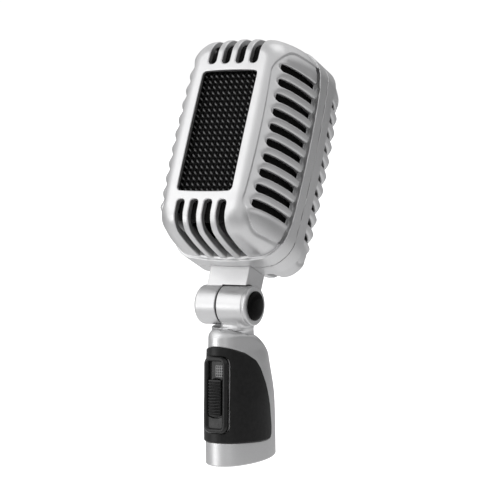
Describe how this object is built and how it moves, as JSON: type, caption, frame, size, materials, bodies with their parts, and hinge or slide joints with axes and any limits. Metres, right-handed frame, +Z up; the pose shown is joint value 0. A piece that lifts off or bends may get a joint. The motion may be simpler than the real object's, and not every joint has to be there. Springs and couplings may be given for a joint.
{
  "type": "desktop microphone",
  "caption": "Slotted die-cast microphone head on a friction hinge, over a short stem with a slide switch, a stand thread and a pin connector.",
  "frame": {"origin": "centre of the stand thread's mouth in the flat bottom of the stem", "axes": "+Z up the stem, -Y towards the front face of the head, +X towards the capped end of the hinge"},
  "size_m": [0.0592, 0.0916, 0.1788],
  "materials": {
    "silver_paint": "satin",
    "black_plastic": "satin",
    "gloss_black": "gloss",
    "bare_steel": "satin",
    "black_wire": "satin",
    "liner_foam": "matte",
    "black_rubber": "matte",
    "brass": "satin",
    "board": "satin",
    "cable_jacket": "satin",
    "cast_alloy": "matte",
    "magnet_iron": "satin",
    "film": "gloss"
  },
  "bodies": {
    "stem": {"stem_shell": "silver_paint", "stem_neck": "silver_paint", "grip_panel": "black_plastic", "switch_bezel": "black_plastic", "switch_body": "bare_steel", "circuit_board": "board", "connector_insert": "black_plastic", "connector_pins": "brass", "thread_insert": "brass", "insert_screws": "bare_steel", "stem_wires": "cable_jacket", "hinge_bolt": "bare_steel", "hinge_nut": "bare_steel", "spring_washer": "bare_steel", "friction_disc": "black_plastic", "hinge_cap_right": "gloss_black"},
    "head": {"hinge_cap_left": "gloss_black", "head_bracket": "silver_paint", "bracket_screws": "bare_steel", "front_shell": "silver_paint", "back_shell": "silver_paint", "front_grille": "black_wire", "back_grille": "black_wire", "front_liner": "liner_foam", "back_liner": "liner_foam", "seam_gasket": "black_rubber", "shell_screws": "bare_steel", "capsule_frame": "cast_alloy", "shock_ring": "black_rubber", "capsule_housing": "cast_alloy", "capsule_cover": "cast_alloy", "diaphragm": "film", "voice_coil": "brass", "magnet": "magnet_iron", "head_wires": "cable_jacket"},
    "switch": {"switch_slider": "black_plastic"}
  },
  "joints": [
    {"name": "head_tilt", "type": "hinge", "parent": "stem", "child": "head", "pos_m": [0, 0.0063, 0.0679], "axis": [1, 0, 0], "range_deg": [-52, 73]},
    {"name": "switch_slide", "type": "slide", "parent": "stem", "child": "switch", "axis": [0, 0.1115, 0.9938], "range_m": [0, 0.006]}
  ]
}
